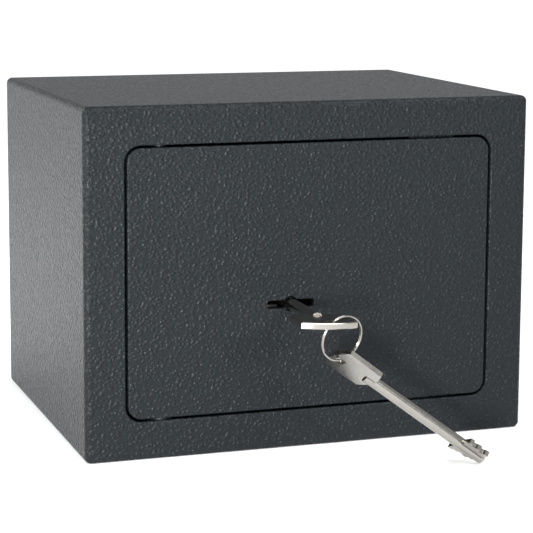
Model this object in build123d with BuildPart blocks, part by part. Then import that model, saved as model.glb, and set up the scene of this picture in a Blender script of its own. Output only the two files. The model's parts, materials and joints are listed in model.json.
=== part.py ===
"""A small key-locking safe: steel cabinet, flush hinged door, double-bit lever lock and bolt work.

Millimetres. X runs to the right seen from the front, Y to the back, Z up.
The origin is the centre of the underside, and the door face lies at the lowest Y.
"""

import os
from math import cos, radians, sin

from build123d import *

os.makedirs("parts", exist_ok=True)

# ---------------------------------------------------------------- driving dimensions
SAFE_W, SAFE_H, SAFE_D = 230.0, 172.0, 180.0
SHEET = 2.0                     # cabinet steel
EDGE_R = 3.0                    # outer radius of the folded long edges
BEND_R = 2.8                    # outer radius round the front and rear faces
MID_Z = SAFE_H / 2
FRONT_Y, REAR_Y = -SAFE_D / 2, SAFE_D / 2
FRAME_LIP = 6.0                 # depth of the front frame's folded lip
BACK_LIP = 12.0                 # depth of the back pan's folded lip
WALL_HOLE_R, WALL_PITCH = 5.0, 130.0
FLOOR_HOLE_R, FLOOR_PITCH = 5.0, 120.0
MAT_T, MAT_GAP, MAT_FRONT, MAT_CORNER_R, MAT_HOLE_MARGIN = 2.0, 1.0, -70.0, 3.0, 3.0
MAT_BACK = REAR_Y - SHEET - MAT_GAP

APERTURE_W, APERTURE_H, APERTURE_R = 190.0, 134.0, 8.0
DOOR_GAP = 1.2
DOOR_T = 4.0
DOOR_W, DOOR_H = APERTURE_W - 2 * DOOR_GAP, APERTURE_H - 2 * DOOR_GAP
DOOR_R = APERTURE_R - DOOR_GAP
DOOR_REAR = FRONT_Y + DOOR_T
EDGE_ROUND = 0.8                # softened edges either side of the door gap
FRAME_REAR = FRONT_Y + SHEET

# hinge: shouldered pins welded to the back of the door near its left edge
PIN_R, JOURNAL_R = 4.5, 3.5
HINGE_X = -DOOR_W / 2 + 18.0
HINGE_Y = DOOR_REAR + PIN_R
RUN_CLEAR = 0.05                # radial clearance of every running fit
LUG_OFFSET = 68.0               # from the door's middle height to a bracket lug
LUG_T = 3.0
BUSH_FLANGE_R, BUSH_FLANGE_T = 6.5, 1.0
BRACKET_W, BRACKET_REACH, BRACKET_LEG = 28.0, 10.0, 14.0
PIN_L, PIN_FOOT_W = 34.0, 7.65      # welded length of a pin, and the flat foot it stands on
PIN_PAST_LUG = 1.0
WASHER_T, WASHER_PLAY, WASHER_INSET = 1.0, 0.1, 0.5
SHOULDER_GAP = {"top": 2.0, "bottom": 1.05}     # flange to pin shoulder; the washer fills the lower

# key and keyhole
KEY_X, KEY_Z = -11.3, 72.6
SLOT_W, SLOT_H, SLOT_EYE_R = 24.3, 4.1, 3.7
SLOT_CORNER_R, SLOT_CHAMFER = 1.3, 0.3
KEY_OUT = 31.8                  # bow shoulder to door face with the key home
KEY_ROLL = 3.0                  # play lets the key sit a little tilted, right side low
SHANK_R, SHANK_L = 2.9, 67.8
BIT_HALF, BIT_L, BIT_T = 10.8, 12.5, 2.5
BIT_TO_TIP = 2.5
LEFT_STEPS = (10.8, 8.8, 9.9, 7.9, 9.3)
RIGHT_STEPS = (10.8, 9.4, 7.6, 8.6, 6.4)
BOW_OUTER_W, BOW_INNER_W, BOW_SIDE = 28.0, 26.2, 19.0
BOW_OUTER_RISE, BOW_INNER_RISE, BOW_T = 3.0, 2.6, 3.0
BOW_L = BOW_OUTER_RISE + BOW_SIDE + BOW_INNER_RISE
BOW_SLOT_W, BOW_SLOT_L, BOW_SLOT_IN, BOW_SLOT_R = 7.0, 4.6, 4.9, 0.8
BOW_CHAMFER, TIP_ROUND, STEP_GROOVE = 0.35, 1.6, 0.25
SOCKET_IN = 5.0                 # length of shank let into the bow

# split ring and the second key that hangs on it
RING_R, WIRE_R = 11.12, 0.65
RING_CENTRE = (-3.48, -139.16, 65.15)
RING_HEADING, RING_TILT = -15.91, 12.09
SPARE_ORIGIN = (13.42, -138.16, 42.77)
SPARE_HEADING, SPARE_DIP, SPARE_ROLL = -8.99, 36.49, -24.35

# lock behind the door
LOCK_T = 1.5
CASE_X0, CASE_X1, CASE_Z0, CASE_Z1 = -44.0, 34.0, 42.0, 108.0
CASE_W, CASE_H = CASE_X1 - CASE_X0, CASE_Z1 - CASE_Z0
CASE_X, CASE_Z = (CASE_X0 + CASE_X1) / 2, (CASE_Z0 + CASE_Z1) / 2
CASE_FRONT, CASE_REAR, CASE_CORNER_R = -76.0, -48.5, 2.0
SCREW_IN = 4.6                  # from the case's sides to a screw
CASE_SCREWS = [(x, z) for x in (CASE_X0 + SCREW_IN, CASE_X1 - SCREW_IN)
               for z in (CASE_Z0 + SCREW_IN, CASE_Z1 - SCREW_IN)]
LOCK_HEAD_R, LOCK_HEAD_T, HEX_R, HEX_DEEP = 3.6, 2.4, 1.9, 1.5
TALON_SLIT_PLAY = 0.3
STANDOFF_R, SCREW_R = 4.0, 2.0
INNER_SLOT_W, INNER_SLOT_H, INNER_EYE_R = 25.4, 5.2, 4.3
HARD_PLATE_W, HARD_PLATE_H, HARD_PLATE_T, HARD_PLATE_R = 52.0, 40.0, 3.0, 3.0

THROW = 12.0                    # travel of the bolts
CAM_R, CAM_FLANGE_R, CAM_T, CAM_FLANGE_T = 14.0, 15.5, 5.0, 0.65
CAM_REAR = -53.25
CAM_POCKET = 3.2
BIT_PLAY, BIT_SIDE_PLAY, SHANK_PLAY = 0.3, 0.25, 0.3
CARRIER_REAR, CARRIER_T, CARRIER_W, CARRIER_H, CARRIER_R = -54.5, 3.0, 36.0, 51.0, 3.0
CARRIER_POST_R, CARRIER_POST_AT = 3.0, 21.5
DRIVE_PIN_R, YOKE_PLAY, YOKE_END_PLAY = 2.0, 1.4, 1.2
DRIVE_PIN_IN, DRIVE_PIN_SHORT = 1.2, 0.2
TALON_FRONT, TALON_T = -53.0, 2.5
TALON_X0, TALON_X1, TALON_Z0, TALON_Z1 = -36.0, 48.0, 60.0, 86.0
GUIDE_POSTS = ((8.0, 79.0), (24.0, 66.0))
GUIDE_POST_R, POST_SLOT_PLAY = 2.5, 0.1
POST_L, POST_HEAD_T, POST_HEAD_RIM, POST_HEAD_GAP = 3.9, 0.7, 1.3, 0.2
STUMP_X, STUMP_Z, STUMP_W, STUMP_H = 12.5, 91.5, 5.0, 3.0
STUMP_ARM_W, STUMP_ARM_H, STUMP_PAST = 8.0, 8.0, 0.2

LEVER_COUNT, LEVER_T, LEVER_STEP, LEVER_FRONT = 4, 1.6, 2.0, -67.2
LEVER_POST_X, LEVER_POST_Z, LEVER_POST_R = -36.0, 96.0, 3.0
LEVER_Z0, LEVER_Z1, LEVER_END = 85.0, 98.0, 31.0
LEVER_EYE_RIM, BELLY_CLEAR, BELLY_STEP = 2.0, 1.8, 0.4
GATE_X0, GATE_X1, GATE_Z0, GATE_Z1 = 8.5, 29.5, 87.5, 95.5
SPRING_T, SPRING_INSET = 0.4, 0.2       # thickness, and how far it lies inside each face of a lever
SPRING_X0, SPRING_X1, SPRING_REACH, SPRING_RISE = -28.0, -24.0, 20.0, 3.4

# round bolts and their carriage
BOLT_R, BOLT_Y, BOLT_SPREAD = 7.0, -62.0, 34.0
BOLT_TIP_X, WEB_X0, WEB_T = 90.0, 50.0, 3.0
BOLTS_Z = (MID_Z - BOLT_SPREAD, MID_Z + BOLT_SPREAD)
TENON_R = 4.0
GUIDE_X0, GUIDE_T = 78.0, 3.0
GUIDE_MARGIN, GUIDE_REACH, GUIDE_FOOT, GUIDE_FOOT_T = 12.0, 11.0, 14.0, 2.0
BOLT_CHAMFER, CARRIAGE_MARGIN, CARRIAGE_REACH = 1.5, 9.0, 8.0
RIVETS, RIVET_R, RIVET_HEAD_R, RIVET_HEAD_T = ((42.0, 67.0), (42.0, 79.0)), 1.5, 2.6, 1.0
STRIKE_X0, STRIKE_X1 = APERTURE_W / 2 + 0.5, SAFE_W / 2 - SHEET - 1
STRIKE_SLOT = 17.0              # square slots that the bolt ends enter
STRIKE_MARGIN, STRIKE_INSET = 16.0, 2.0

# stops behind the door's top and bottom edges
STOP_X0, STOP_W, STOP_T, STOP_STEP_Z = 52.0, 24.0, 2.0, 68.5
STOP_OVERLAP, STOP_FOOT, STOP_GAP = 8.5, 11.5, 0.2

# pan that covers the mechanism on the back of the door
COVER_X0, COVER_X1, COVER_Z0, COVER_Z1 = -52.0, 87.0, 28.0, 144.0
COVER_T, COVER_REAR, COVER_R, COVER_ROUND = 1.0, -42.5, 4.0, 1.5
BOLT_CLEARANCE, SCREW_CLEARANCE, THREAD_PLAY = 0.6, 0.2, 0.05
COVER_SCREW_L, COVER_TAP_L, COVER_HEAD_T, COVER_HEAD_ROUND = 12.0, 14.0, 2.2, 1.4
CROSS_L, CROSS_W, CROSS_DEEP = 4.4, 0.9, 1.2
COVER_SCREWS = [(x, z) for x in (COVER_X0 + 5.5, COVER_X1 - 17.0) for z in (COVER_Z0 + 6, COVER_Z1 - 6)]


# ---------------------------------------------------------------- shared planes
def facing(x, y, z):
    """Plane parallel to the door: local x to the right, local y up, extruding towards the front."""
    return Plane(origin=(x, y, z), x_dir=(1, 0, 0), z_dir=(0, -1, 0))


def side_on(x):
    """Plane square to X: local x to the back, local y up, extruding to the right."""
    return Plane(origin=(x, 0, 0), x_dir=(0, 1, 0), z_dir=(1, 0, 0))


def level(z):
    """Horizontal plane at height z, extruding upwards."""
    return Plane.XY.offset(z)


def keyhole_profile(width, height, eye_r):
    """Horizontal slot with a round eye, drawn in the current sketch."""
    RectangleRounded(width, height, SLOT_CORNER_R)
    Circle(eye_r)


# ---------------------------------------------------------------- cabinet
with BuildPart() as body_sleeve:
    with BuildSketch(facing(0, REAR_Y - BACK_LIP, MID_Z)):
        RectangleRounded(SAFE_W, SAFE_H, EDGE_R)
        RectangleRounded(SAFE_W - 2 * SHEET, SAFE_H - 2 * SHEET, EDGE_R - SHEET, mode=Mode.SUBTRACT)
    extrude(amount=SAFE_D - BACK_LIP - FRAME_LIP)
    with BuildSketch(level(0)):
        with Locations((-FLOOR_PITCH / 2, 0), (FLOOR_PITCH / 2, 0)):
            Circle(FLOOR_HOLE_R)
    extrude(amount=SHEET, mode=Mode.SUBTRACT)
body_sleeve.part.label = "body_sleeve"
export_step(body_sleeve.part, "parts/body_sleeve.step")

with BuildPart() as front_frame:
    with BuildSketch(facing(0, FRONT_Y + FRAME_LIP, MID_Z)):
        RectangleRounded(SAFE_W, SAFE_H, EDGE_R)
    extrude(amount=FRAME_LIP)
    fillet(front_frame.faces().sort_by(Axis.Y)[0].edges(), BEND_R)
    with BuildSketch(facing(0, FRONT_Y + FRAME_LIP, MID_Z)):
        RectangleRounded(SAFE_W - 2 * SHEET, SAFE_H - 2 * SHEET, EDGE_R - SHEET)
    extrude(amount=FRAME_LIP - SHEET, mode=Mode.SUBTRACT)
    with BuildSketch(facing(0, FRAME_REAR, MID_Z)):
        RectangleRounded(APERTURE_W, APERTURE_H, APERTURE_R)
    extrude(amount=SHEET, mode=Mode.SUBTRACT)
    fillet(front_frame.faces().sort_by(Axis.Y)[0].inner_wires()[0].edges(), EDGE_ROUND)
front_frame.part.label = "front_frame"
export_step(front_frame.part, "parts/front_frame.step")

with BuildPart() as back_pan:
    with BuildSketch(facing(0, REAR_Y, MID_Z)):
        RectangleRounded(SAFE_W, SAFE_H, EDGE_R)
    extrude(amount=BACK_LIP)
    fillet(back_pan.faces().sort_by(Axis.Y)[-1].edges(), BEND_R)
    with BuildSketch(facing(0, REAR_Y - SHEET, MID_Z)):
        RectangleRounded(SAFE_W - 2 * SHEET, SAFE_H - 2 * SHEET, EDGE_R - SHEET)
    extrude(amount=BACK_LIP - SHEET, mode=Mode.SUBTRACT)
    with BuildSketch(facing(0, REAR_Y, MID_Z)):
        with Locations((-WALL_PITCH / 2, 0), (WALL_PITCH / 2, 0)):
            Circle(WALL_HOLE_R)
    extrude(amount=SHEET, mode=Mode.SUBTRACT)
back_pan.part.label = "back_pan"
export_step(back_pan.part, "parts/back_pan.step")

with BuildPart() as floor_mat:
    with BuildSketch(level(SHEET)):
        with Locations((0, (MAT_FRONT + MAT_BACK) / 2)):
            RectangleRounded(SAFE_W - 2 * SHEET - 2 * MAT_GAP, MAT_BACK - MAT_FRONT, MAT_CORNER_R)
        with Locations((-FLOOR_PITCH / 2, 0), (FLOOR_PITCH / 2, 0)):
            Circle(FLOOR_HOLE_R + MAT_HOLE_MARGIN, mode=Mode.SUBTRACT)
    extrude(amount=MAT_T)
floor_mat.part.label = "floor_mat"
export_step(floor_mat.part, "parts/floor_mat.step")

# ---------------------------------------------------------------- hinge, one set at each end
for end, way in (("top", 1), ("bottom", -1)):
    lug_z = MID_Z + way * LUG_OFFSET            # the lug face that looks at the door
    lug_far = lug_z + way * LUG_T
    leg_far = lug_z + way * BRACKET_LEG
    bush_low = min(lug_z - way * BUSH_FLANGE_T, lug_z)

    with BuildPart() as bracket:
        with BuildSketch(side_on(HINGE_X - BRACKET_W / 2)):
            with BuildLine():
                Polyline(
                    (FRAME_REAR, lug_z),
                    (HINGE_Y + BRACKET_REACH, lug_z),
                    (HINGE_Y + BRACKET_REACH, lug_far),
                    (FRAME_REAR + LUG_T, lug_far),
                    (FRAME_REAR + LUG_T, leg_far),
                    (FRAME_REAR, leg_far),
                    close=True,
                )
            make_face()
        extrude(amount=BRACKET_W)
        with BuildSketch(level(min(lug_z, lug_far))):
            with Locations((HINGE_X, HINGE_Y)):
                Circle(PIN_R)
        extrude(amount=LUG_T, mode=Mode.SUBTRACT)
    bracket.part.label = f"hinge_bracket_{end}"
    export_step(bracket.part, f"parts/hinge_bracket_{end}.step")

    with BuildPart() as bush:
        with BuildSketch(level(min(lug_z, lug_far))):
            with Locations((HINGE_X, HINGE_Y)):
                Circle(PIN_R)
        extrude(amount=LUG_T)
        with BuildSketch(level(bush_low)):
            with Locations((HINGE_X, HINGE_Y)):
                Circle(BUSH_FLANGE_R)
        extrude(amount=BUSH_FLANGE_T)
        with BuildSketch(level(min(bush_low, lug_far))):
            with Locations((HINGE_X, HINGE_Y)):
                Circle(JOURNAL_R + RUN_CLEAR)
        extrude(amount=LUG_T + BUSH_FLANGE_T, mode=Mode.SUBTRACT)
    bush.part.label = f"hinge_bush_{end}"
    export_step(bush.part, f"parts/hinge_bush_{end}.step")

    # shoulder, welded length and journal of the pin
    shoulder_z = lug_z - way * (BUSH_FLANGE_T + SHOULDER_GAP[end])
    pin_far = shoulder_z - way * PIN_L
    journal_end = lug_far + way * PIN_PAST_LUG
    with BuildPart() as pin:
        with BuildSketch(level(min(shoulder_z, pin_far))):
            with Locations((HINGE_X, HINGE_Y)):
                Circle(PIN_R)
            with Locations((HINGE_X, (DOOR_REAR + HINGE_Y) / 2)):
                Rectangle(PIN_FOOT_W, HINGE_Y - DOOR_REAR)
        extrude(amount=abs(shoulder_z - pin_far))
        with BuildSketch(level(min(shoulder_z, journal_end))):
            with Locations((HINGE_X, HINGE_Y)):
                Circle(JOURNAL_R)
        extrude(amount=abs(journal_end - shoulder_z))
    pin.part.label = f"hinge_pin_{end}"
    export_step(pin.part, f"parts/hinge_pin_{end}.step")

with BuildPart() as hinge_washer:
    with BuildSketch(level(MID_Z - LUG_OFFSET + BUSH_FLANGE_T)):
        with Locations((HINGE_X, HINGE_Y)):
            Circle(BUSH_FLANGE_R - WASHER_INSET)
            Circle(JOURNAL_R + WASHER_PLAY, mode=Mode.SUBTRACT)
    extrude(amount=WASHER_T)
hinge_washer.part.label = "hinge_washer"
export_step(hinge_washer.part, "parts/hinge_washer.step")

# ---------------------------------------------------------------- strike and door stops
with BuildPart() as strike_plate:
    STRIKE_Z0, STRIKE_Z1 = BOLTS_Z[0] - STRIKE_MARGIN, BOLTS_Z[1] + STRIKE_MARGIN
    with BuildSketch(level(STRIKE_Z0)):
        with BuildLine():
            Polyline(
                (STRIKE_X0, FRAME_REAR),
                (STRIKE_X1, FRAME_REAR),
                (STRIKE_X1, FRAME_REAR + SHEET),
                (STRIKE_X0 + SHEET, FRAME_REAR + SHEET),
                (STRIKE_X0 + SHEET, COVER_REAR - STRIKE_INSET),
                (STRIKE_X0, COVER_REAR - STRIKE_INSET),
                close=True,
            )
        make_face()
    extrude(amount=STRIKE_Z1 - STRIKE_Z0)
    with BuildSketch(side_on(STRIKE_X0)):
        with Locations(*[(BOLT_Y, z) for z in BOLTS_Z]):
            Rectangle(STRIKE_SLOT, STRIKE_SLOT)
    extrude(amount=SHEET, mode=Mode.SUBTRACT)
strike_plate.part.label = "strike_plate"
export_step(strike_plate.part, "parts/strike_plate.step")

for end, way in (("top", 1), ("bottom", -1)):
    with BuildPart() as stop:
        step_z = MID_Z + way * STOP_STEP_Z
        face_y = DOOR_REAR + STOP_GAP
        with BuildSketch(side_on(STOP_X0)):
            with BuildLine():
                Polyline(
                    (FRAME_REAR, step_z),
                    (face_y, step_z),
                    (face_y, step_z - way * STOP_OVERLAP),
                    (face_y + STOP_T, step_z - way * STOP_OVERLAP),
                    (face_y + STOP_T, step_z + way * STOP_T),
                    (FRAME_REAR + STOP_T, step_z + way * STOP_T),
                    (FRAME_REAR + STOP_T, step_z + way * STOP_FOOT),
                    (FRAME_REAR, step_z + way * STOP_FOOT),
                    close=True,
                )
            make_face()
        extrude(amount=STOP_W)
    stop.part.label = f"door_stop_{end}"
    export_step(stop.part, f"parts/door_stop_{end}.step")

# ---------------------------------------------------------------- door
with BuildPart() as door_plate:
    with BuildSketch(facing(0, DOOR_REAR, MID_Z)):
        RectangleRounded(DOOR_W, DOOR_H, DOOR_R)
    extrude(amount=DOOR_T)
    fillet(door_plate.faces().sort_by(Axis.Y)[0].edges(), EDGE_ROUND)
    with BuildSketch(facing(KEY_X, DOOR_REAR, KEY_Z)):
        keyhole_profile(SLOT_W, SLOT_H, SLOT_EYE_R)
    extrude(amount=DOOR_T, mode=Mode.SUBTRACT)
    chamfer(door_plate.faces().sort_by(Axis.Y)[0].inner_wires()[0].edges(), SLOT_CHAMFER)
door_plate.part.label = "door_plate"
export_step(door_plate.part, "parts/door_plate.step")

with BuildPart() as hard_plate:
    with BuildSketch(facing(KEY_X, DOOR_REAR + HARD_PLATE_T, KEY_Z)):
        RectangleRounded(HARD_PLATE_W, HARD_PLATE_H, HARD_PLATE_R)
        Rectangle(INNER_SLOT_W, INNER_SLOT_H, mode=Mode.SUBTRACT)
        Circle(INNER_EYE_R, mode=Mode.SUBTRACT)
    extrude(amount=HARD_PLATE_T)
hard_plate.part.label = "hard_plate"
export_step(hard_plate.part, "parts/hard_plate.step")

with BuildPart() as bolt_guide:
    with BuildSketch(level(BOLTS_Z[0] - GUIDE_MARGIN)):
        with BuildLine():
            Polyline(
                (GUIDE_X0 + GUIDE_T, DOOR_REAR),
                (GUIDE_X0 + GUIDE_T, BOLT_Y + GUIDE_REACH),
                (GUIDE_X0, BOLT_Y + GUIDE_REACH),
                (GUIDE_X0, DOOR_REAR + GUIDE_FOOT_T),
                (GUIDE_X0 - GUIDE_FOOT, DOOR_REAR + GUIDE_FOOT_T),
                (GUIDE_X0 - GUIDE_FOOT, DOOR_REAR),
                close=True,
            )
        make_face()
    extrude(amount=2 * (BOLT_SPREAD + GUIDE_MARGIN))
    with BuildSketch(side_on(GUIDE_X0)):
        with Locations(*[(BOLT_Y, z) for z in BOLTS_Z]):
            Circle(BOLT_R + RUN_CLEAR)
    extrude(amount=GUIDE_T, mode=Mode.SUBTRACT)
bolt_guide.part.label = "bolt_guide"
export_step(bolt_guide.part, "parts/bolt_guide.step")

with BuildPart() as mechanism_cover:
    COVER_W, COVER_H = COVER_X1 - COVER_X0, COVER_Z1 - COVER_Z0
    COVER_X, COVER_Z = (COVER_X0 + COVER_X1) / 2, (COVER_Z0 + COVER_Z1) / 2
    with BuildSketch(facing(COVER_X, COVER_REAR, COVER_Z)):
        RectangleRounded(COVER_W, COVER_H, COVER_R)
    extrude(amount=COVER_REAR - DOOR_REAR)
    fillet(mechanism_cover.faces().sort_by(Axis.Y)[-1].edges(), COVER_ROUND)
    with BuildSketch(facing(COVER_X, COVER_REAR - COVER_T, COVER_Z)):
        RectangleRounded(COVER_W - 2 * COVER_T, COVER_H - 2 * COVER_T, COVER_R - COVER_T)
    extrude(amount=COVER_REAR - COVER_T - DOOR_REAR, mode=Mode.SUBTRACT)
    with BuildSketch(side_on(COVER_X1 - COVER_T)):
        with Locations(*[(BOLT_Y, z) for z in BOLTS_Z]):
            Circle(BOLT_R + BOLT_CLEARANCE)
    extrude(amount=COVER_T, mode=Mode.SUBTRACT)
    with BuildSketch(facing(0, COVER_REAR, 0)):
        with Locations(*COVER_SCREWS):
            Circle(SCREW_R + SCREW_CLEARANCE)
    extrude(amount=COVER_T, mode=Mode.SUBTRACT)
mechanism_cover.part.label = "mechanism_cover"
export_step(mechanism_cover.part, "parts/mechanism_cover.step")

with BuildPart() as cover_standoffs:
    with BuildSketch(facing(0, COVER_REAR - COVER_T, 0)):
        with Locations(*COVER_SCREWS):
            Circle(STANDOFF_R)
    extrude(amount=COVER_REAR - COVER_T - DOOR_REAR)
    with BuildSketch(facing(0, COVER_REAR - COVER_T, 0)):
        with Locations(*COVER_SCREWS):
            Circle(SCREW_R + THREAD_PLAY)
    extrude(amount=COVER_TAP_L, mode=Mode.SUBTRACT)
cover_standoffs.part.label = "cover_standoffs"
export_step(cover_standoffs.part, "parts/cover_standoffs.step")

with BuildPart() as cover_screws:
    with BuildSketch(facing(0, COVER_REAR + COVER_HEAD_T, 0)):
        with Locations(*COVER_SCREWS):
            Circle(STANDOFF_R)
    extrude(amount=COVER_HEAD_T)
    fillet(cover_screws.faces().group_by(Axis.Y)[-1].edges(), COVER_HEAD_ROUND)
    with BuildSketch(facing(0, COVER_REAR, 0)):
        with Locations(*COVER_SCREWS):
            Circle(SCREW_R)
    extrude(amount=COVER_SCREW_L)
    with BuildSketch(facing(0, COVER_REAR + COVER_HEAD_T, 0)):
        with Locations(*COVER_SCREWS):
            Rectangle(CROSS_L, CROSS_W)
            Rectangle(CROSS_W, CROSS_L)
    extrude(amount=CROSS_DEEP, mode=Mode.SUBTRACT)
cover_screws.part.label = "cover_screws"
export_step(cover_screws.part, "parts/cover_screws.step")

# ---------------------------------------------------------------- lock case
with BuildPart() as lock_case:
    with BuildSketch(facing(CASE_X, CASE_REAR, CASE_Z)):
        RectangleRounded(CASE_W, CASE_H, CASE_CORNER_R)
    extrude(amount=CASE_REAR - CASE_FRONT)
    with BuildSketch(facing(CASE_X, CASE_REAR - LOCK_T, CASE_Z)):
        Rectangle(CASE_W - 2 * LOCK_T, CASE_H - 2 * LOCK_T)
    extrude(amount=CASE_REAR - LOCK_T - CASE_FRONT, mode=Mode.SUBTRACT)
    with BuildSketch(side_on(CASE_X1 - LOCK_T)):
        with Locations((TALON_FRONT + TALON_T / 2, (TALON_Z0 + TALON_Z1) / 2)):
            Rectangle(TALON_T + 2 * TALON_SLIT_PLAY, TALON_Z1 - TALON_Z0 + 1)
    extrude(amount=LOCK_T, mode=Mode.SUBTRACT)
    with BuildSketch(facing(0, CASE_REAR, 0)):
        with Locations(*CASE_SCREWS):
            Circle(SCREW_R + SCREW_CLEARANCE)
    extrude(amount=LOCK_T, mode=Mode.SUBTRACT)
lock_case.part.label = "lock_case"
export_step(lock_case.part, "parts/lock_case.step")

with BuildPart() as lock_cover:
    with BuildSketch(facing(CASE_X, CASE_FRONT, CASE_Z)):
        RectangleRounded(CASE_W, CASE_H, CASE_CORNER_R)
    extrude(amount=LOCK_T)
    with BuildSketch(facing(KEY_X, CASE_FRONT, KEY_Z)):
        keyhole_profile(INNER_SLOT_W, INNER_SLOT_H, INNER_EYE_R)
    extrude(amount=LOCK_T, mode=Mode.SUBTRACT)
    with BuildSketch(facing(0, CASE_FRONT, 0)):
        with Locations(*CASE_SCREWS):
            Circle(SCREW_R + SCREW_CLEARANCE)
    extrude(amount=LOCK_T, mode=Mode.SUBTRACT)
lock_cover.part.label = "lock_cover"
export_step(lock_cover.part, "parts/lock_cover.step")

with BuildPart() as lock_standoffs:
    with BuildSketch(facing(0, CASE_FRONT - LOCK_T, 0)):
        with Locations(*CASE_SCREWS):
            Circle(STANDOFF_R)
            Circle(SCREW_R + THREAD_PLAY, mode=Mode.SUBTRACT)
    extrude(amount=CASE_FRONT - LOCK_T - DOOR_REAR)
lock_standoffs.part.label = "lock_standoffs"
export_step(lock_standoffs.part, "parts/lock_standoffs.step")

with BuildPart() as lock_screws:
    with BuildSketch(facing(0, CASE_REAR + LOCK_HEAD_T, 0)):
        with Locations(*CASE_SCREWS):
            Circle(LOCK_HEAD_R)
    extrude(amount=LOCK_HEAD_T)
    with BuildSketch(facing(0, CASE_REAR, 0)):
        with Locations(*CASE_SCREWS):
            Circle(SCREW_R)
    extrude(amount=CASE_REAR - DOOR_REAR - 2)
    with BuildSketch(facing(0, CASE_REAR + LOCK_HEAD_T, 0)):
        with Locations(*CASE_SCREWS):
            RegularPolygon(HEX_R, 6)
    extrude(amount=HEX_DEEP, mode=Mode.SUBTRACT)
lock_screws.part.label = "lock_screws"
export_step(lock_screws.part, "parts/lock_screws.step")

with BuildPart() as cam_carrier:
    with BuildSketch(facing(KEY_X, CARRIER_REAR, KEY_Z)):
        RectangleRounded(CARRIER_W, CARRIER_H, CARRIER_R)
        Circle(CAM_R + RUN_CLEAR, mode=Mode.SUBTRACT)
    extrude(amount=CARRIER_T)
    with BuildSketch(facing(KEY_X, CASE_REAR - LOCK_T, KEY_Z)):
        with Locations((0, CARRIER_POST_AT), (0, -CARRIER_POST_AT)):
            Circle(CARRIER_POST_R)
    extrude(amount=CASE_REAR - LOCK_T - CARRIER_REAR)
cam_carrier.part.label = "cam_carrier"
export_step(cam_carrier.part, "parts/cam_carrier.step")

with BuildPart() as bolt_guide_posts:
    with BuildSketch(facing(0, CASE_REAR - LOCK_T, 0)):
        with Locations(*GUIDE_POSTS):
            Circle(GUIDE_POST_R)
    extrude(amount=POST_L)
    with BuildSketch(facing(0, TALON_FRONT - POST_HEAD_GAP, 0)):
        with Locations(*GUIDE_POSTS):
            Circle(GUIDE_POST_R + POST_HEAD_RIM)
    extrude(amount=POST_HEAD_T)
bolt_guide_posts.part.label = "bolt_guide_posts"
export_step(bolt_guide_posts.part, "parts/bolt_guide_posts.step")

# ---------------------------------------------------------------- levers
with BuildPart() as lever_post:
    with BuildSketch(facing(LEVER_POST_X, CASE_REAR - LOCK_T, LEVER_POST_Z)):
        Circle(LEVER_POST_R)
    extrude(amount=CASE_REAR - LOCK_T - CASE_FRONT)
lever_post.part.label = "lever_post"
export_step(lever_post.part, "parts/lever_post.step")

for number in range(LEVER_COUNT):
    lever_rear = LEVER_FRONT + number * LEVER_STEP + LEVER_T
    belly_r = BIT_HALF + BELLY_CLEAR + BELLY_STEP * number
    with BuildPart() as lever:
        with BuildSketch(facing(0, lever_rear, 0)):
            with Locations(((LEVER_POST_X + LEVER_END) / 2, (LEVER_Z0 + LEVER_Z1) / 2)):
                Rectangle(LEVER_END - LEVER_POST_X, LEVER_Z1 - LEVER_Z0)
            with Locations((LEVER_POST_X, LEVER_POST_Z)):
                Circle(LEVER_POST_R + LEVER_EYE_RIM)
            with Locations((KEY_X, KEY_Z)):
                Circle(belly_r, mode=Mode.SUBTRACT)
            with Locations(((GATE_X0 + GATE_X1) / 2, (GATE_Z0 + GATE_Z1) / 2)):
                Rectangle(GATE_X1 - GATE_X0, GATE_Z1 - GATE_Z0, mode=Mode.SUBTRACT)
            with Locations((LEVER_POST_X, LEVER_POST_Z)):
                Circle(LEVER_POST_R + RUN_CLEAR, mode=Mode.SUBTRACT)
        extrude(amount=LEVER_T)
    lever.part.label = f"lever_{number + 1}"
    export_step(lever.part, f"parts/lever_{number + 1}.step")

with BuildPart() as lever_springs:
    for number in range(LEVER_COUNT):
        spring_rear = LEVER_FRONT + number * LEVER_STEP + LEVER_T - SPRING_INSET
        with BuildSketch(facing(0, spring_rear, 0)):
            with BuildLine():
                Polyline(
                    (SPRING_X0, LEVER_Z1),
                    (SPRING_X1, LEVER_Z1),
                    (SPRING_REACH, LEVER_Z1 + SPRING_RISE),
                    (SPRING_REACH, LEVER_Z1 + SPRING_RISE + SPRING_T),
                    (SPRING_X0, LEVER_Z1 + SPRING_T),
                    close=True,
                )
            make_face()
        extrude(amount=LEVER_T - 2 * SPRING_INSET)
lever_springs.part.label = "lever_springs"
export_step(lever_springs.part, "parts/lever_springs.step")

# ---------------------------------------------------------------- cam turned by the key
with BuildPart() as lock_cam:
    with BuildSketch(facing(KEY_X, CAM_REAR, KEY_Z)):
        Circle(CAM_R)
    extrude(amount=CAM_T)
    with BuildSketch(facing(KEY_X, CAM_REAR - CAM_T + CAM_FLANGE_T, KEY_Z)):
        Circle(CAM_FLANGE_R)
    extrude(amount=CAM_FLANGE_T)
    with BuildSketch(facing(KEY_X, CAM_REAR - CAM_T + CAM_POCKET, KEY_Z)):
        Rectangle(2 * (BIT_HALF + BIT_PLAY), BIT_T + 2 * BIT_SIDE_PLAY, rotation=-KEY_ROLL)
    extrude(amount=CAM_POCKET, mode=Mode.SUBTRACT)
    with BuildSketch(facing(KEY_X, CAM_REAR, KEY_Z)):
        Circle(SHANK_R + SHANK_PLAY)
    extrude(amount=CAM_T, mode=Mode.SUBTRACT)
    with BuildSketch(facing(KEY_X - THROW / 2, CAM_REAR, KEY_Z)):
        Circle(DRIVE_PIN_R)
    extrude(amount=DRIVE_PIN_IN, mode=Mode.SUBTRACT)
lock_cam.part.label = "lock_cam"
export_step(lock_cam.part, "parts/lock_cam.step")

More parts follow.
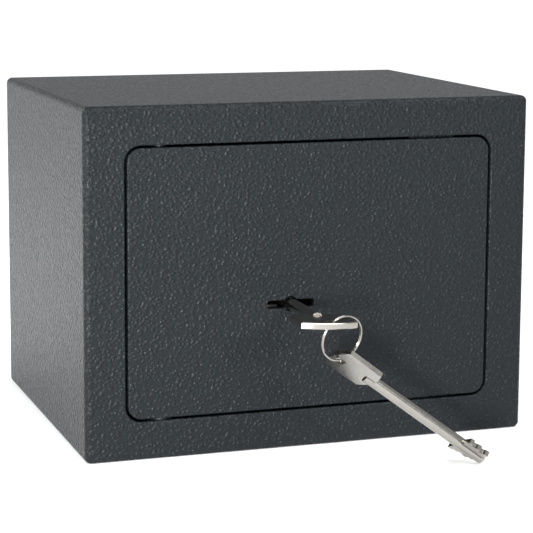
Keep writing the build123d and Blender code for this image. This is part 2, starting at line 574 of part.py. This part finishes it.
with BuildPart() as drive_pin:
    PIN_TOP = TALON_FRONT + TALON_T - DRIVE_PIN_SHORT
    with BuildSketch(facing(KEY_X - THROW / 2, PIN_TOP, KEY_Z)):
        Circle(DRIVE_PIN_R)
    extrude(amount=PIN_TOP - (CAM_REAR - DRIVE_PIN_IN))
drive_pin.part.label = "drive_pin"
export_step(drive_pin.part, "parts/drive_pin.step")

# ---------------------------------------------------------------- bolt work
with BuildPart() as talon_plate:
    with BuildSketch(facing(0, TALON_FRONT + TALON_T, 0)):
        with Locations(((TALON_X0 + TALON_X1) / 2, (TALON_Z0 + TALON_Z1) / 2)):
            Rectangle(TALON_X1 - TALON_X0, TALON_Z1 - TALON_Z0)
        with Locations((STUMP_X, TALON_Z1 + STUMP_ARM_H / 2)):
            Rectangle(STUMP_ARM_W, STUMP_ARM_H)
        with Locations((KEY_X - THROW / 2, KEY_Z)):
            SlotOverall(2 * (THROW / 2 + DRIVE_PIN_R + YOKE_END_PLAY), 2 * (DRIVE_PIN_R + YOKE_PLAY),
                        rotation=90, mode=Mode.SUBTRACT)
        with Locations(*[(x - THROW / 2, z) for x, z in GUIDE_POSTS]):
            SlotOverall(THROW + 2 * (GUIDE_POST_R + 3 * POST_SLOT_PLAY), 2 * (GUIDE_POST_R + POST_SLOT_PLAY),
                        mode=Mode.SUBTRACT)
        with Locations(*RIVETS):
            Circle(RIVET_R, mode=Mode.SUBTRACT)
    extrude(amount=TALON_T)
talon_plate.part.label = "talon_plate"
export_step(talon_plate.part, "parts/talon_plate.step")

with BuildPart() as bolt_stump:
    with BuildSketch(facing(STUMP_X, TALON_FRONT, STUMP_Z)):
        Rectangle(STUMP_W, STUMP_H)
    extrude(amount=TALON_FRONT - LEVER_FRONT + STUMP_PAST)
bolt_stump.part.label = "bolt_stump"
export_step(bolt_stump.part, "parts/bolt_stump.step")

with BuildPart() as bolt_carriage:
    FLANGE_FRONT, FLANGE_T, FLANGE_X0, FLANGE_H = TALON_FRONT + TALON_T, 2.0, CASE_X1 + 2.0, 22.0
    with BuildSketch(facing(0, FLANGE_FRONT + FLANGE_T, 0)):
        with Locations((WEB_X0 + WEB_T / 2, MID_Z)):
            Rectangle(WEB_T, 2 * (BOLT_SPREAD + CARRIAGE_MARGIN))
    extrude(amount=FLANGE_FRONT + FLANGE_T - (BOLT_Y - CARRIAGE_REACH))
    with BuildSketch(facing(0, FLANGE_FRONT + FLANGE_T, 0)):
        with Locations(((FLANGE_X0 + WEB_X0) / 2, (TALON_Z0 + TALON_Z1) / 2)):
            Rectangle(WEB_X0 - FLANGE_X0, FLANGE_H)
        with Locations(*RIVETS):
            Circle(RIVET_R, mode=Mode.SUBTRACT)
    extrude(amount=FLANGE_T)
    with BuildSketch(side_on(WEB_X0)):
        with Locations(*[(BOLT_Y, z) for z in BOLTS_Z]):
            Circle(TENON_R)
    extrude(amount=WEB_T, mode=Mode.SUBTRACT)
bolt_carriage.part.label = "bolt_carriage"
export_step(bolt_carriage.part, "parts/bolt_carriage.step")

with BuildPart() as carriage_rivets:
    with BuildSketch(facing(0, FLANGE_FRONT + FLANGE_T, 0)):
        with Locations(*RIVETS):
            Circle(RIVET_R)
    extrude(amount=TALON_T + FLANGE_T)
    for head_rear in (FLANGE_FRONT + FLANGE_T + RIVET_HEAD_T, TALON_FRONT):
        with BuildSketch(facing(0, head_rear, 0)):
            with Locations(*RIVETS):
                Circle(RIVET_HEAD_R)
        extrude(amount=RIVET_HEAD_T)
carriage_rivets.part.label = "carriage_rivets"
export_step(carriage_rivets.part, "parts/carriage_rivets.step")

for place, bolt_z in (("lower", BOLTS_Z[0]), ("upper", BOLTS_Z[1])):
    with BuildPart() as bolt:
        with BuildSketch(side_on(WEB_X0 + WEB_T)):
            with Locations((BOLT_Y, bolt_z)):
                Circle(BOLT_R)
        extrude(amount=BOLT_TIP_X - WEB_X0 - WEB_T)
        chamfer(bolt.faces().sort_by(Axis.X)[-1].edges(), BOLT_CHAMFER)
        with BuildSketch(side_on(WEB_X0)):
            with Locations((BOLT_Y, bolt_z)):
                Circle(TENON_R)
        extrude(amount=WEB_T)
    bolt.part.label = f"{place}_bolt"
    export_step(bolt.part, f"parts/{place}_bolt.step")


# ---------------------------------------------------------------- keys and ring
def key_frame(origin, heading, dip, roll):
    """Plane of a key's bow: local x runs from the bow to the tip, local z stands off its flat face.

    heading is measured from +X about +Z, dip is downwards, and roll turns the key about its shank.
    """
    along = Vector(cos(radians(heading)) * cos(radians(dip)),
                   sin(radians(heading)) * cos(radians(dip)), -sin(radians(dip)))
    across = along.cross(Vector(0, 0, 1)).normalized()
    normal = along.cross(across)
    flat = normal * cos(radians(roll)) - across * sin(radians(roll))
    return Plane(origin=origin, x_dir=along, z_dir=flat)


def step_points(steps, side):
    """Corners of one stepped bit, from its bow end to the tip; side is +1 or -1."""
    length = BIT_L / len(steps)
    start = SHANK_L - BIT_TO_TIP - BIT_L
    points = [(start, side * SHANK_R / 2)]
    for index, height in enumerate(steps):
        points.append((start + index * length + STEP_GROOVE, side * height))
        points.append((start + (index + 1) * length - STEP_GROOVE, side * height))
    points.append((start + BIT_L, side * SHANK_R / 2))
    return points


outer, inner = -BOW_INNER_RISE - BOW_SIDE, -BOW_INNER_RISE
MAIN_KEY = key_frame((KEY_X, FRONT_Y - KEY_OUT, KEY_Z), 90, 0, KEY_ROLL)
SPARE_KEY = key_frame(SPARE_ORIGIN, SPARE_HEADING, SPARE_DIP, SPARE_ROLL)

for key_name, frame in (("main_key", MAIN_KEY), ("spare_key", SPARE_KEY)):
    across_shank = Plane(origin=frame.origin - frame.x_dir * SOCKET_IN, z_dir=frame.x_dir)

    with BuildPart() as shank:
        with BuildSketch(across_shank):
            Circle(SHANK_R)
        extrude(amount=SHANK_L + SOCKET_IN)
        fillet(shank.edges().filter_by(GeomType.CIRCLE).sort_by(Axis(frame.origin, frame.x_dir))[-1], TIP_ROUND)
        with BuildSketch(frame):
            for steps, side in ((LEFT_STEPS, 1), (RIGHT_STEPS, -1)):
                with BuildLine():
                    Polyline(*step_points(steps, side), close=True)
                make_face()
        extrude(amount=BIT_T / 2, both=True)
    shank.part.label = f"{key_name}_shank"
    export_step(shank.part, f"parts/{key_name}_shank.step")

    with BuildPart() as bow:
        with BuildSketch(frame):
            with BuildLine():
                ThreePointArc((outer, -BOW_OUTER_W / 2), (-BOW_L, 0), (outer, BOW_OUTER_W / 2))
                Line((outer, BOW_OUTER_W / 2), (inner, BOW_INNER_W / 2))
                ThreePointArc((inner, BOW_INNER_W / 2), (0, 0), (inner, -BOW_INNER_W / 2))
                Line((inner, -BOW_INNER_W / 2), (outer, -BOW_OUTER_W / 2))
            make_face()
            with Locations((-BOW_L + BOW_SLOT_IN, 0)):
                RectangleRounded(BOW_SLOT_L, BOW_SLOT_W, BOW_SLOT_R, mode=Mode.SUBTRACT)
        extrude(amount=BOW_T / 2, both=True)
        chamfer(bow.faces().sort_by(Axis(frame.origin, frame.z_dir))[-1].outer_wire().edges(), BOW_CHAMFER)
        chamfer(bow.faces().sort_by(Axis(frame.origin, frame.z_dir))[0].outer_wire().edges(), BOW_CHAMFER)
        with BuildSketch(across_shank):
            Circle(SHANK_R)
        extrude(amount=SOCKET_IN + 1, mode=Mode.SUBTRACT)
    bow.part.label = f"{key_name}_bow"
    export_step(bow.part, f"parts/{key_name}_bow.step")

RING_NORMAL = Vector(sin(radians(RING_HEADING)) * cos(radians(RING_TILT)),
                     cos(radians(RING_HEADING)) * cos(radians(RING_TILT)), sin(radians(RING_TILT)))
with BuildPart(Plane(origin=RING_CENTRE, z_dir=RING_NORMAL)) as key_ring:
    Torus(RING_R, WIRE_R)
key_ring.part.label = "key_ring"
export_step(key_ring.part, "parts/key_ring.step")
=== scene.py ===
"""Looks of the key-locking safe: finishes, split ring, felt lining, camera, floor and studio light.

Metres, in the part's own frame: X to the right seen from the front, Y to the back, Z up.
"""

import json
import math

import bpy
from mathutils import Matrix, Vector


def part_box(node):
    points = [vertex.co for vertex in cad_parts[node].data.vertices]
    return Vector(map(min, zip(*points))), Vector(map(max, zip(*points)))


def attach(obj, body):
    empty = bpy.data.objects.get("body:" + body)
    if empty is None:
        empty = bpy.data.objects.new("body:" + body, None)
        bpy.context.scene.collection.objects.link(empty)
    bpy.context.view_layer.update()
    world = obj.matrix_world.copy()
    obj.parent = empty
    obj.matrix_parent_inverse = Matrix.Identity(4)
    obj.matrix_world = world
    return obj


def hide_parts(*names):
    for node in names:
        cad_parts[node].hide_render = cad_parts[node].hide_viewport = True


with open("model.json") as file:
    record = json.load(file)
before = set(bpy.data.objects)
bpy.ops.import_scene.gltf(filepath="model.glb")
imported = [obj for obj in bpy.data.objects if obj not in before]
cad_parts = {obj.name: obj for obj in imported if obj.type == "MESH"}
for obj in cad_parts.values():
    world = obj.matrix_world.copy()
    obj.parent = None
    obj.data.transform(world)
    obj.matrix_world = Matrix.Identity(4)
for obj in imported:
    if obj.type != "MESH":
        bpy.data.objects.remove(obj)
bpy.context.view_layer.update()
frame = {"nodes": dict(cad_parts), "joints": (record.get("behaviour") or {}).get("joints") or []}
MM = 0.001


# ---------------------------------------------------------------- finishes
class Finish:
    """A procedural material. Grain sizes are lengths on the object, in metres."""

    def __init__(self, name, **sockets):
        self.material = bpy.data.materials.new(name)
        self.material.use_nodes = True
        self.nodes = self.material.node_tree.nodes
        self.links = self.material.node_tree.links
        self.shader = self.nodes["Principled BSDF"]
        self.place = self.nodes.new("ShaderNodeTexCoord").outputs["Object"]
        for socket, value in sockets.items():
            self.shader.inputs[socket.replace("_", " ")].default_value = value

    def stretched(self, scale):
        """The piece's coordinates scaled per axis, for grain that runs one way."""
        node = self.nodes.new("ShaderNodeMapping")
        node.inputs["Scale"].default_value = scale
        self.links.new(self.place, node.inputs["Vector"])
        return node.outputs["Vector"]

    def noise(self, grain, detail=2.0, roughness=0.5, place=None, distortion=0.0):
        """Cloudy pattern, with blobs about grain across."""
        node = self.nodes.new("ShaderNodeTexNoise")
        self.links.new(place or self.place, node.inputs["Vector"])
        node.inputs["Scale"].default_value = 1 / grain
        node.inputs["Detail"].default_value = detail
        node.inputs["Roughness"].default_value = roughness
        node.inputs["Distortion"].default_value = distortion
        return node.outputs["Fac"]

    def cells(self, grain, smoothness=0.6):
        """Distance to the nearest of scattered points about grain apart, with soft borders."""
        node = self.nodes.new("ShaderNodeTexVoronoi")
        node.feature = "SMOOTH_F1"
        self.links.new(self.place, node.inputs["Vector"])
        node.inputs["Scale"].default_value = 1 / grain
        node.inputs["Smoothness"].default_value = smoothness
        return node.outputs["Distance"]

    def remap(self, value, low, high, to_low=0.0, to_high=1.0):
        """The range low to high taken smoothly to the range to_low to to_high."""
        node = self.nodes.new("ShaderNodeMapRange")
        node.interpolation_type = "SMOOTHSTEP"
        self.links.new(value, node.inputs["Value"])
        ends = {"From Min": low, "From Max": high, "To Min": to_low, "To Max": to_high}
        for socket, number in ends.items():
            node.inputs[socket].default_value = number
        return node.outputs["Result"]

    def mixed(self, value, a, b):
        """Colour from a to b as value goes from 0 to 1; a or b may be an output of another node."""
        node = self.nodes.new("ShaderNodeMix")
        node.data_type = "RGBA"
        self.links.new(value, node.inputs["Factor"])
        for socket, colour in (("A", a), ("B", b)):
            target = next(s for s in node.inputs if s.name == socket and s.type == "RGBA")
            if isinstance(colour, tuple):
                target.default_value = (*colour, 1)
            else:
                self.links.new(colour, target)
        return next(s for s in node.outputs if s.type == "RGBA")

    def sum(self, first, second, share):
        """first plus share times second."""
        node = self.nodes.new("ShaderNodeMath")
        node.operation = "MULTIPLY_ADD"
        self.links.new(second, node.inputs[0])
        node.inputs[1].default_value = share
        self.links.new(first, node.inputs[2])
        return node.outputs[0]

    def bump(self, height, depth, strength=1.0, under=None):
        """Surface relief up to depth high, on top of another bump if one is given."""
        node = self.nodes.new("ShaderNodeBump")
        node.inputs["Distance"].default_value = depth
        node.inputs["Strength"].default_value = strength
        self.links.new(height, node.inputs["Height"])
        if under:
            self.links.new(under, node.inputs["Normal"])
        return node.outputs["Normal"]

    def wear(self, colour=None, roughness=None, normal=None):
        """Link what is given to the shader, and return the finished material."""
        for socket, value in (("Base Color", colour), ("Roughness", roughness), ("Normal", normal)):
            if value:
                self.links.new(value, self.shader.inputs[socket])
        return self.material


def textured_paint():
    """Powder coat with the soft pebbled skin of a textured finish."""
    f = Finish("textured_paint_finish", Specular_IOR_Level=0.10, Metallic=0.0)
    deep, pale, crest_highlight = (0.0070, 0.0086, 0.0098), (0.0086, 0.0105, 0.0118), (0.0092, 0.0112, 0.0126)
    pebbles = f.cells(1.9 * MM)
    orange_peel = f.noise(1.5 * MM, detail=2.0, roughness=0.55)
    domes = f.remap(pebbles, 0.05, 0.62, to_low=1.0, to_high=0.0)
    height = f.sum(domes, orange_peel, share=1.1)
    fine = f.noise(0.45 * MM, detail=1.0)
    body = f.mixed(f.noise(45 * MM, detail=3), deep, pale)
    # The orange peel's crests take a lighter colour: a painted highlight where light would catch them.
    colour = f.mixed(f.remap(orange_peel, 0.3, 0.75), body, crest_highlight)
    roughness = f.remap(f.noise(2.2 * MM, detail=2), 0.25, 0.75, to_low=0.26, to_high=0.33)
    skin = f.bump(height, depth=0.40 * MM)
    normal = f.bump(fine, depth=0.05 * MM, strength=0.6, under=skin)
    return f.wear(colour, roughness, normal)


def zinc_steel():
    """Bright zinc plate over rolled sheet, with a faint bluish and straw cast."""
    f = Finish("zinc_steel_finish", Metallic=1.0)
    bluish, straw, bright = (0.25, 0.27, 0.29), (0.32, 0.31, 0.275), (0.36, 0.365, 0.37)
    rolling = f.noise(1.2 * MM, detail=4, place=f.stretched((0.08, 1.0, 1.0)))
    cast = f.mixed(f.noise(14 * MM, detail=2), bluish, straw)
    colour = f.mixed(f.remap(f.noise(3 * MM, detail=4), 0.45, 0.7), cast, bright)
    roughness = f.remap(rolling, 0.2, 0.8, to_low=0.30, to_high=0.48)
    normal = f.bump(rolling, depth=0.02 * MM, strength=0.4)
    return f.wear(colour, roughness, normal)


def hardened_steel():
    """Oil-blackened hardened plate."""
    f = Finish("hardened_steel_finish", Metallic=1.0)
    black, rubbed = (0.030, 0.032, 0.036), (0.065, 0.062, 0.060)
    clouds = f.noise(9 * MM, detail=5, roughness=0.6)
    colour = f.mixed(clouds, black, rubbed)
    grinding = f.noise(0.9 * MM, detail=3, place=f.stretched((1.0, 1.0, 0.05)))
    roughness = f.remap(clouds, 0.2, 0.8, to_low=0.45, to_high=0.65)
    normal = f.bump(grinding, depth=0.02 * MM, strength=0.5)
    return f.wear(colour, roughness, normal)


def nickel():
    """Nickel plate on a blanked key: satin from tumbling, with fine handling marks."""
    f = Finish("nickel_finish", Metallic=1.0)
    dull, bright, scuffed = (0.29, 0.277, 0.255), (0.35, 0.335, 0.31), (0.235, 0.22, 0.20)
    satin = f.noise(0.35 * MM, detail=3, roughness=0.6)
    marks = f.noise(1.4 * MM, detail=5, roughness=0.7, distortion=1.5)
    plate = f.mixed(f.noise(7 * MM, detail=3), dull, bright)
    colour = f.mixed(f.remap(marks, 0.56, 0.70), plate, scuffed)
    roughness = f.remap(marks, 0.3, 0.7, to_low=0.15, to_high=0.27)
    tumbled = f.bump(satin, depth=0.006 * MM, strength=0.25)
    normal = f.bump(marks, depth=0.015 * MM, strength=0.25, under=tumbled)
    return f.wear(colour, roughness, normal)


def brass():
    """Machined brass with turning marks and a little tarnish."""
    f = Finish("brass_finish", Metallic=1.0)
    clean, tarnished = (0.58, 0.42, 0.18), (0.38, 0.26, 0.11)
    tarnish = f.noise(5 * MM, detail=4, roughness=0.6)
    colour = f.mixed(f.remap(tarnish, 0.35, 0.7), clean, tarnished)
    turning = f.noise(0.6 * MM, detail=2, place=f.stretched((0.15, 1.0, 1.0)))
    roughness = f.remap(turning, 0.2, 0.8, to_low=0.20, to_high=0.38)
    normal = f.bump(turning, depth=0.02 * MM, strength=0.4)
    return f.wear(colour, roughness, normal)


def felt():
    """Pressed felt: matted fibres, lightly mottled."""
    f = Finish("felt_mat_finish", Specular_IOR_Level=0.2, Sheen_Weight=0.35, Sheen_Roughness=0.5)
    charcoal, slate, stray_fibre = (0.016, 0.017, 0.020), (0.034, 0.036, 0.040), (0.075, 0.078, 0.085)
    fibres = f.noise(0.7 * MM, detail=6, roughness=0.75, distortion=2.5)
    clumps = f.noise(5 * MM, detail=4, roughness=0.6)
    dyed = f.mixed(clumps, charcoal, slate)
    colour = f.mixed(f.remap(fibres, 0.52, 0.72), dyed, stray_fibre)
    height = f.sum(fibres, clumps, share=0.6)
    roughness = f.remap(fibres, 0.3, 0.7, to_low=0.85, to_high=1.0)
    normal = f.bump(height, depth=0.35 * MM, strength=0.8)
    return f.wear(colour, roughness, normal)


FINISHES = {
    "textured_paint": textured_paint(),
    "zinc_steel": zinc_steel(),
    "hardened_steel": hardened_steel(),
    "nickel": nickel(),
    "brass": brass(),
    "felt_mat": felt(),
}
for node in frame["nodes"].values():
    packed_slot = node.data.materials[0].name.split(".")[0]
    node.data.materials.clear()
    node.data.materials.append(FINISHES[packed_slot])


def add_object(name, data):
    """A new object, linked to the scene."""
    made = bpy.data.objects.new(name, data)
    bpy.context.scene.collection.objects.link(made)
    return made


def add_piece(name, mesh, body, stands_for, slot):
    """A new piece in place of one CAD node, riding on its body."""
    piece = add_object(name, mesh)
    mesh.materials.append(FINISHES[slot])
    for face in mesh.polygons:
        face.use_smooth = True
    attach(piece, body)
    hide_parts(stands_for)
    return piece


# ---------------------------------------------------------------- split ring
RING_R = 11.12 * MM             # centreline
TURN_OFFSET = 0.32 * MM         # each of the two turns lies this far from the ring's middle plane
WIRE_HALF_WIDTH = 0.44 * MM
WIRE_HALF_HEIGHT = 0.30 * MM
WIRE_ROUNDNESS = 0.8            # 1 makes the wire's section an ellipse, less makes it squarer
CROSSING = math.radians(24)     # arc over which the wire steps from one turn to the next
CROSSING_AT = math.radians(35)  # where on the ring that step begins
END_GAP = math.radians(2.5)     # between the step and each of the wire's cut ends
END_ROUNDING = 0.7              # 0 leaves the cut ends square, 1 brings them to a point
END_STEPS = 4                   # of the ring's steps, those that round off one end
RING_STEPS = 240
WIRE_SIDES = 16


def squarish(value):
    """A sine or cosine pushed outwards, for a section between an ellipse and a rectangle."""
    return math.copysign(abs(value) ** WIRE_ROUNDNESS, value)


def split_ring_mesh():
    """Two turns of flattened wire that lie on each other, with a step between them and two cut ends."""
    swing = next(j for j in frame["joints"] if j["name"] == "spare_key_swing")
    centre, normal = Vector(swing["pos_m"]), Vector(swing["axis"]).normalized()
    across = normal.cross(Vector((0, 0, 1))).normalized()
    upright = normal.cross(across)
    start = CROSSING_AT + CROSSING + END_GAP
    length = 2 * math.tau - CROSSING - 2 * END_GAP
    step_from, step_to = math.tau - CROSSING - END_GAP, math.tau - END_GAP
    verts, faces = [], []
    for i in range(RING_STEPS + 1):
        along = length * i / RING_STEPS
        rise = min(1, max(0, (along - step_from) / (step_to - step_from)))
        offset = TURN_OFFSET * (2 * rise * rise * (3 - 2 * rise) - 1)
        from_end = min(i, RING_STEPS - i, END_STEPS) / END_STEPS
        taper = math.sqrt(1 - (1 - from_end) ** 2 * END_ROUNDING)
        outward = across * math.cos(start + along) + upright * math.sin(start + along)
        for k in range(WIRE_SIDES):
            a = math.tau * k / WIRE_SIDES
            radial = WIRE_HALF_WIDTH * squarish(math.cos(a)) * taper
            axial = WIRE_HALF_HEIGHT * squarish(math.sin(a)) * taper
            verts.append(centre + outward * (RING_R + radial) + normal * (offset + axial))
    for i in range(RING_STEPS):
        for k in range(WIRE_SIDES):
            a, b = i * WIRE_SIDES + k, i * WIRE_SIDES + (k + 1) % WIRE_SIDES
            faces.append((a, b, b + WIRE_SIDES, a + WIRE_SIDES))
    faces.append(tuple(range(WIRE_SIDES))[::-1])
    faces.append(tuple(range(RING_STEPS * WIRE_SIDES, (RING_STEPS + 1) * WIRE_SIDES)))
    mesh = bpy.data.meshes.new("split_ring")
    mesh.from_pydata(verts, [], faces)
    mesh.validate()
    mesh.update()
    return mesh


add_piece("split_ring", split_ring_mesh(), "key_ring", "key_ring", "nickel")


# ---------------------------------------------------------------- felt lining
FELT_HOLE_R = 8 * MM
FELT_HOLE_X = 60 * MM
FELT_HOLE_STEPS = 48
FELT_CORNER_R = 3 * MM
FELT_CORNER_STEPS = 6
FELT_EDGE = 0.6 * MM            # softness of the cut edge
FELT_EDGE_STEPS = 3


def points_round(centre, radius, first, step, count):
    """Points on a circle, anticlockwise from the angle first, step apart, both in degrees."""
    angles = [math.radians(first + step * k) for k in range(count)]
    return [(centre[0] + radius * math.cos(a), centre[1] + radius * math.sin(a)) for a in angles]


def add_outline(curve, points):
    """One closed outline with straight sides."""
    spline = curve.splines.new("POLY")
    spline.points.add(len(points) - 1)
    for target, (x, y) in zip(spline.points, points):
        target.co = (x, y, 0, 1)
    spline.use_cyclic_u = True


def felt_mesh():
    """The mat as cut: rounded corners, a hole over each floor fixing, and a soft edge all round."""
    low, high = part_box("floor_mat")
    curve = bpy.data.curves.new("felt_outline", "CURVE")
    curve.dimensions = "2D"
    curve.fill_mode = "BOTH"
    corners = ((high.x, high.y), (low.x, high.y), (low.x, low.y), (high.x, low.y))
    outline = []
    for quarter, (x, y) in enumerate(corners):
        centre = (x - math.copysign(FELT_CORNER_R, x), y - math.copysign(FELT_CORNER_R, y))
        outline += points_round(centre, FELT_CORNER_R - FELT_EDGE, 90 * quarter,
                                90 / FELT_CORNER_STEPS, FELT_CORNER_STEPS + 1)
    add_outline(curve, outline)
    for x in (-FELT_HOLE_X, FELT_HOLE_X):
        add_outline(curve, points_round((x, 0), FELT_HOLE_R + FELT_EDGE, 0,
                                        360 / FELT_HOLE_STEPS, FELT_HOLE_STEPS))
    curve.extrude = (high.z - low.z) / 2 - FELT_EDGE
    curve.bevel_depth = FELT_EDGE
    curve.bevel_resolution = FELT_EDGE_STEPS
    solid = add_object("felt_outline", curve)
    bpy.context.view_layer.update()
    mesh = bpy.data.meshes.new_from_object(solid)
    mesh.name = "felt_lining"
    bpy.data.objects.remove(solid)
    mesh.transform(Matrix.Translation((0, 0, (low.z + high.z) / 2)))
    return mesh


felt_lining = add_piece("felt_lining", felt_mesh(), "cabinet", "floor_mat", "felt_mat")


# ---------------------------------------------------------------- camera
CAMERA_AT = Vector((-0.3241, -0.9584, 0.2579))
CAMERA_AZIMUTH, CAMERA_ELEVATION, CAMERA_ROLL = (math.radians(d) for d in (19.05, -8.65, 0.32))
CAMERA_LENS, CAMERA_SENSOR = 129.5, 36      # millimetres
CAMERA_SHIFT = -0.100                       # of the view's width; the view moves down

camera = add_object("camera", bpy.data.cameras.new("camera"))
camera.data.lens = CAMERA_LENS
camera.data.sensor_width = CAMERA_SENSOR
camera.data.shift_y = CAMERA_SHIFT
camera.data.clip_start, camera.data.clip_end = 0.01, 60
forward = Vector((math.sin(CAMERA_AZIMUTH) * math.cos(CAMERA_ELEVATION),
                  math.cos(CAMERA_AZIMUTH) * math.cos(CAMERA_ELEVATION), math.sin(CAMERA_ELEVATION)))
level_view = forward.to_track_quat("-Z", "Y")
camera.rotation_mode = "QUATERNION"
camera.location = CAMERA_AT
camera.rotation_quaternion = level_view @ Matrix.Rotation(CAMERA_ROLL, 3, "Z").to_quaternion()
bpy.context.scene.camera = camera


# ---------------------------------------------------------------- floor and studio
FLOOR_HALF = 9.0
FLOOR_GRAIN = 0.4
SKY_COLOUR = (0.97, 0.985, 1.0)
SKY_STRENGTH = 0.53
SUN_STRENGTH = 2.5
SUN_SPREAD = math.radians(42)               # the width of the sun's disc, which softens the shadows
SUN_DIRECTION = Vector((-0.30, 0.32, -0.90))


def plain_floor():
    """A wide pale floor with a very faint mottle."""
    f = Finish("floor_finish", Roughness=0.8, Specular_IOR_Level=0.1)
    darker, paler = (0.89, 0.89, 0.89), (0.91, 0.91, 0.91)
    corners = [(x * FLOOR_HALF, y * FLOOR_HALF, 0) for x, y in ((-1, -1), (1, -1), (1, 1), (-1, 1))]
    mesh = bpy.data.meshes.new("floor")
    mesh.from_pydata(corners, [], [(0, 1, 2, 3)])
    mesh.materials.append(f.wear(f.mixed(f.noise(FLOOR_GRAIN), darker, paler)))
    return add_object("floor", mesh)


def soft_light(name, at, aim, size, power):
    """A rectangular softbox at one point, facing another."""
    light = add_object(name, bpy.data.lights.new(name, "AREA"))
    light.data.shape = "RECTANGLE"
    light.data.size, light.data.size_y = size
    light.data.energy = power
    light.location = at
    light.rotation_mode = "QUATERNION"
    light.rotation_quaternion = (Vector(aim) - Vector(at)).to_track_quat("-Z", "Y")


plain_floor()

world = bpy.data.worlds.new("studio")
world.use_nodes = True
background = world.node_tree.nodes["Background"]
background.inputs["Color"].default_value = (*SKY_COLOUR, 1)
background.inputs["Strength"].default_value = SKY_STRENGTH
bpy.context.scene.world = world

sun = add_object("overhead", bpy.data.lights.new("overhead", "SUN"))
sun.data.energy = SUN_STRENGTH
sun.data.angle = SUN_SPREAD
sun.rotation_mode = "QUATERNION"
sun.rotation_quaternion = SUN_DIRECTION.to_track_quat("-Z", "Y")

soft_light("left_softbox", at=(-0.85, -0.50, 0.45), aim=(-0.09, -0.05, 0.09),
           size=(0.60, 0.70), power=11.0)
soft_light("rear_left_softbox", at=(-0.75, 0.60, 0.40), aim=(-0.10, 0.02, 0.09),
           size=(0.60, 0.60), power=5.8)
soft_light("front_left_softbox", at=(-0.48, -1.00, 0.10), aim=(-0.08, -0.09, 0.09),
           size=(0.12, 0.16), power=15.0)
soft_light("front_right_softbox", at=(0.38, -1.05, 0.52), aim=(0.0, -0.12, 0.07),
           size=(0.16, 0.16), power=5.0)

bpy.context.scene.view_settings.view_transform = "Standard"
